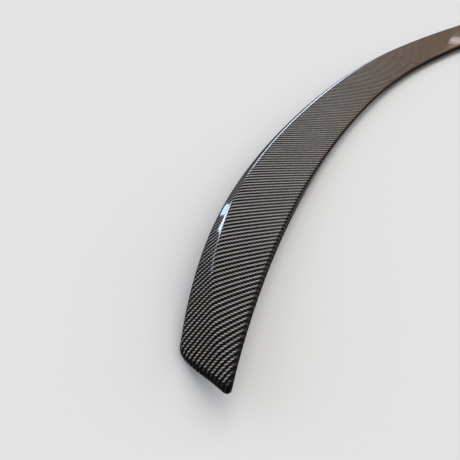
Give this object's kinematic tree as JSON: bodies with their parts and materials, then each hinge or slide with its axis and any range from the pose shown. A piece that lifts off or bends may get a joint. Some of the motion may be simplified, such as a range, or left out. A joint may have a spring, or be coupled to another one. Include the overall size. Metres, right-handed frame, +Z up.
{
  "type": "car rear spoiler",
  "caption": "Low bow-shaped boot-lid spoiler: a thin hollow shell with a soft crest, a rear facet that widens at the tips and turned-down edges.",
  "frame": {"origin": "on the plane of the rear foot, below the middle of the box round the shell", "axes": "+X along the span towards the car's left side, +Y to the rear of the car (the convex side of the bow), +Z up"},
  "size_m": [1.2438, 0.189, 0.0241],
  "materials": {
    "gloss_weave": "dark twill-woven fibre laminate under a clear glossy coat"
  },
  "bodies": {
    "root": {"spoiler_shell": "gloss_weave"}
  },
  "joints": []
}
